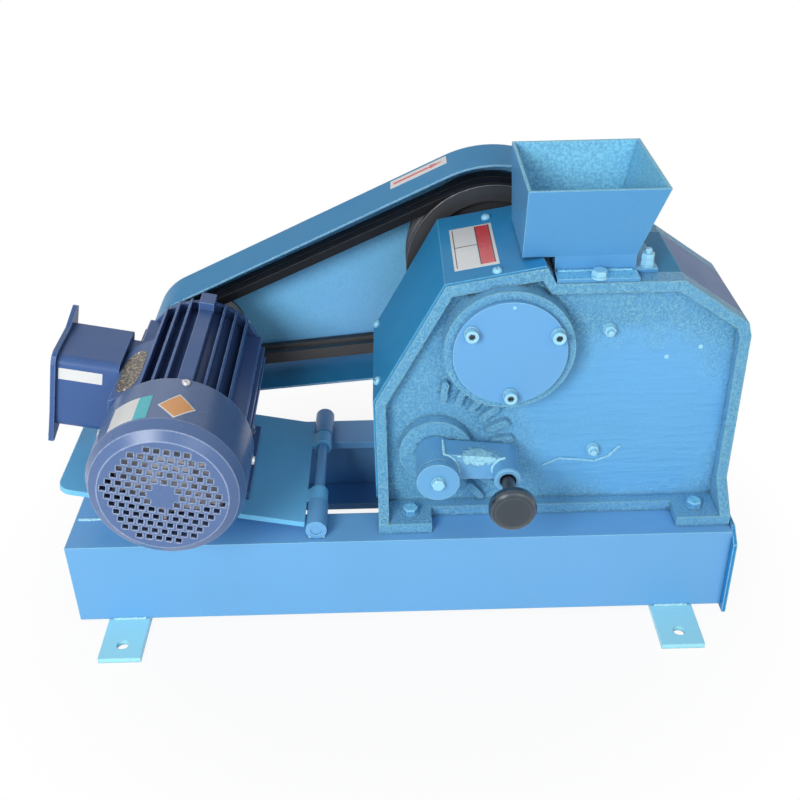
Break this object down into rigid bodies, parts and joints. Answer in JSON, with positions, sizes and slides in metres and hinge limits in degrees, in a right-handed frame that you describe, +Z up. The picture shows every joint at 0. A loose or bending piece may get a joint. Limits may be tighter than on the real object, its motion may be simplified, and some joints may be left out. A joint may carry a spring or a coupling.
{
  "type": "laboratory jaw crusher",
  "caption": "Cast jaw box with a feed hopper, a guarded two-belt wheel drive and an indexed gap adjuster, on a channel-iron base beside a hinged motor plate with a finned motor.",
  "frame": {"origin": "on the floor, in the middle of the four foot-bolt holes", "axes": "+X along the base towards the crusher, +Y from the operator's side to the belt guard, +Z up"},
  "size_m": [0.7186, 0.369, 0.4705],
  "materials": {
    "frame_paint": "hammered light blue enamel",
    "casting_paint": "light blue enamel over rough cast iron",
    "motor_paint": "violet-blue enamel over cast and stamped metal",
    "fan_plastic": "matte light grey",
    "knob_plastic": "moulded black",
    "bright_steel": "turned",
    "cast_iron": "turned, oiled",
    "belt_rubber": "cloth-backed rubber",
    "jaw_metal": "bare cast steel, worn by stone"
  },
  "bodies": {
    "base": {"front_channel": "frame_paint", "rear_channel": "frame_paint", "left_cross_member": "frame_paint", "bearer_left": "frame_paint", "bearer_right": "frame_paint", "end_plate": "frame_paint", "foot_tab_front_left": "frame_paint", "foot_tab_front_right": "frame_paint", "foot_tab_rear_left": "frame_paint", "foot_tab_rear_right": "frame_paint", "hinge_bush_front": "frame_paint", "hinge_bush_rear": "frame_paint", "hinge_rod": "bright_steel", "motor_plate": "frame_paint", "motor_frame": "motor_paint", "motor_end_shield": "motor_paint", "motor_fan_cover": "motor_paint", "terminal_box": "motor_paint", "terminal_box_lid": "motor_paint", "belt_near": "belt_rubber", "belt_far": "belt_rubber", "guard_strip": "frame_paint", "guard_back_panel": "frame_paint", "guard_bracket": "frame_paint", "front_side_frame": "casting_paint", "rear_side_frame": "casting_paint", "end_wall": "casting_paint", "cover_sheet": "frame_paint", "hopper": "frame_paint", "fixed_jaw": "jaw_metal", "swing_jaw": "casting_paint", "toggle_plate": "jaw_metal", "cheek_plate_front": "jaw_metal", "cheek_plate_rear": "jaw_metal", "front_bearing_cover": "casting_paint", "rear_bearing_cover": "casting_paint"},
    "drive": {"eccentric_shaft": "bright_steel", "drive_wheel": "cast_iron"},
    "motor_rotor": {"motor_shaft": "bright_steel", "motor_fan": "fan_plastic", "motor_pulley": "cast_iron"},
    "adjuster": {"adjuster_shaft": "bright_steel", "adjuster_arm": "frame_paint"},
    "plunger_unit": {"plunger": "bright_steel", "plunger_knob": "knob_plastic"}
  },
  "joints": [
    {"name": "wheel_spin", "type": "hinge", "parent": "base", "child": "drive", "pos_m": [0.112, -0.007, 0.3135], "axis": [0, 1, 0], "continuous": true},
    {"name": "motor_spin", "type": "hinge", "parent": "base", "child": "motor_rotor", "pos_m": [-0.21672, 0, 0.22723], "axis": [0, 1, 0], "continuous": true},
    {"name": "adjuster_turn", "type": "hinge", "parent": "base", "child": "adjuster", "pos_m": [0.041, -0.1025, 0.188], "axis": [0, -1, 0], "range_deg": [-45, 38]},
    {"name": "plunger_pull", "type": "slide", "parent": "adjuster", "child": "plunger_unit", "axis": [0, -1, 0], "range_m": [0, 0.012], "stiffness_N_per_m": 1000, "springref_m": -0.008}
  ],
  "couplings": [
    {"joint": "motor_spin", "follows": "wheel_spin", "ratio": 2.6}
  ]
}
